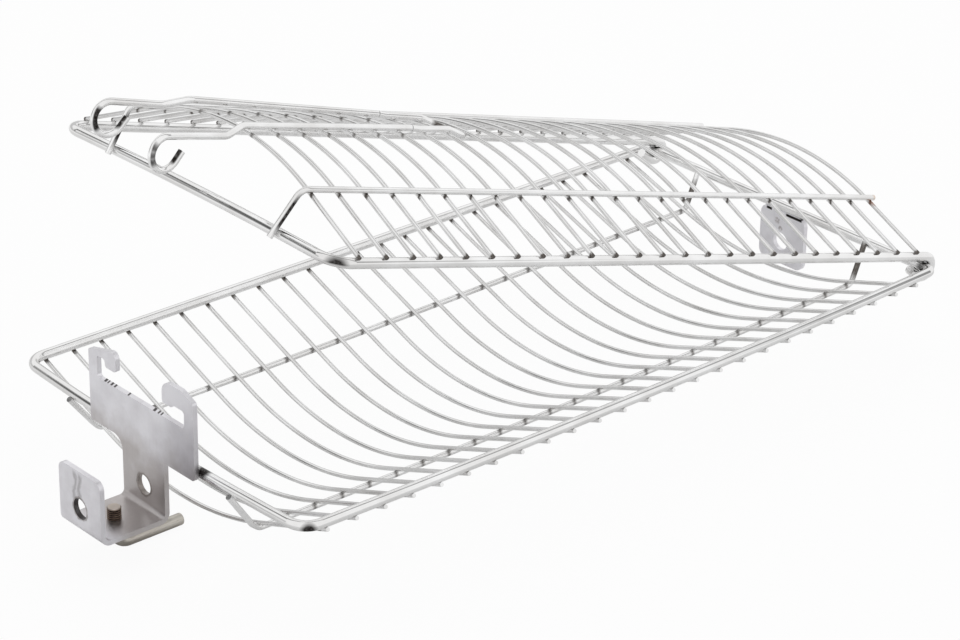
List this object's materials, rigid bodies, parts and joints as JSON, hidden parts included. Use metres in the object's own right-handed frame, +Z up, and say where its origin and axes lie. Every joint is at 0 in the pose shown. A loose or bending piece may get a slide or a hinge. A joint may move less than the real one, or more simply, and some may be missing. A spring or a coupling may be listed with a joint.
{
  "type": "rotisserie grill basket",
  "caption": "Hinged wire rotisserie basket: a ribbed tray and lid joined by hooked wire ends, with a sprung wire latch, a hooked bracket, spit holes and a clamp screw.",
  "frame": {"origin": "on the axis of the spit holes, at the middle of the tray's length", "axes": "+X across the basket, +Y along the spit axis towards the lid's hinge, +Z up out of the tray"},
  "size_m": [0.2621, 0.5553, 0.249],
  "materials": {
    "frame_wire": "polished stainless wire",
    "rib_wire": "polished stainless wire",
    "rail_wire": "polished stainless wire",
    "latch_wire": "polished stainless spring wire",
    "bracket_sheet": "satin sheet, tinted brown by heat near the welds",
    "screw_thread": "dark, oxidised thread",
    "handle_rod": "satin rod"
  },
  "bodies": {
    "tray": {"tray_frame": "frame_wire", "tray_ribs_1": "rib_wire", "tray_ribs_2": "rib_wire", "tray_ribs_3": "rib_wire", "tray_ribs_4": "rib_wire", "tray_ribs_5": "rib_wire", "tray_rail_left": "rail_wire", "tray_rail_right": "rail_wire", "near_bracket": "bracket_sheet", "far_plate": "bracket_sheet"},
    "lid": {"lid_frame": "frame_wire", "lid_ribs_1": "rib_wire", "lid_ribs_2": "rib_wire", "lid_ribs_3": "rib_wire", "lid_ribs_4": "rib_wire", "lid_ribs_5": "rib_wire", "lid_rail_left": "rail_wire", "lid_rail_right": "rail_wire", "latch_bridge": "latch_wire"},
    "latch_leg_left": {"latch_leg_left": "latch_wire"},
    "latch_leg_right": {"latch_leg_right": "latch_wire"},
    "clamp_screw": {"clamp_screw": "screw_thread"},
    "clamp_handle": {"clamp_handle": "handle_rod"}
  },
  "joints": [
    {"name": "lid_hinge", "type": "hinge", "parent": "tray", "child": "lid", "pos_m": [0, 0.247, 0.024], "axis": [-1, 0, 0], "range_deg": [-15.2, 150]},
    {"name": "latch_left_flex", "type": "hinge", "parent": "lid", "child": "latch_leg_left", "pos_m": [-0.01839, -0.07582, 0.16543], "axis": [0, 0.2756, 0.9613], "range_deg": [0, 5.5], "stiffness_Nm_per_rad": 48},
    {"name": "latch_right_flex", "type": "hinge", "parent": "lid", "child": "latch_leg_right", "pos_m": [0.00983, -0.07564, 0.16607], "axis": [0, -0.2756, -0.9613], "range_deg": [0, 5.5], "stiffness_Nm_per_rad": 48},
    {"name": "clamp_slide", "type": "slide", "parent": "tray", "child": "clamp_screw", "axis": [0, 0, 1], "range_m": [-0.00251, 0.00334]},
    {"name": "clamp_turn", "type": "hinge", "parent": "clamp_screw", "child": "clamp_handle", "pos_m": [0, -0.277, -0.01935], "axis": [0, 0, 1], "range_deg": [-720, 960]}
  ],
  "couplings": [
    {"joint": "clamp_slide", "follows": "clamp_turn", "m_per_rad": 0.00019894}
  ]
}
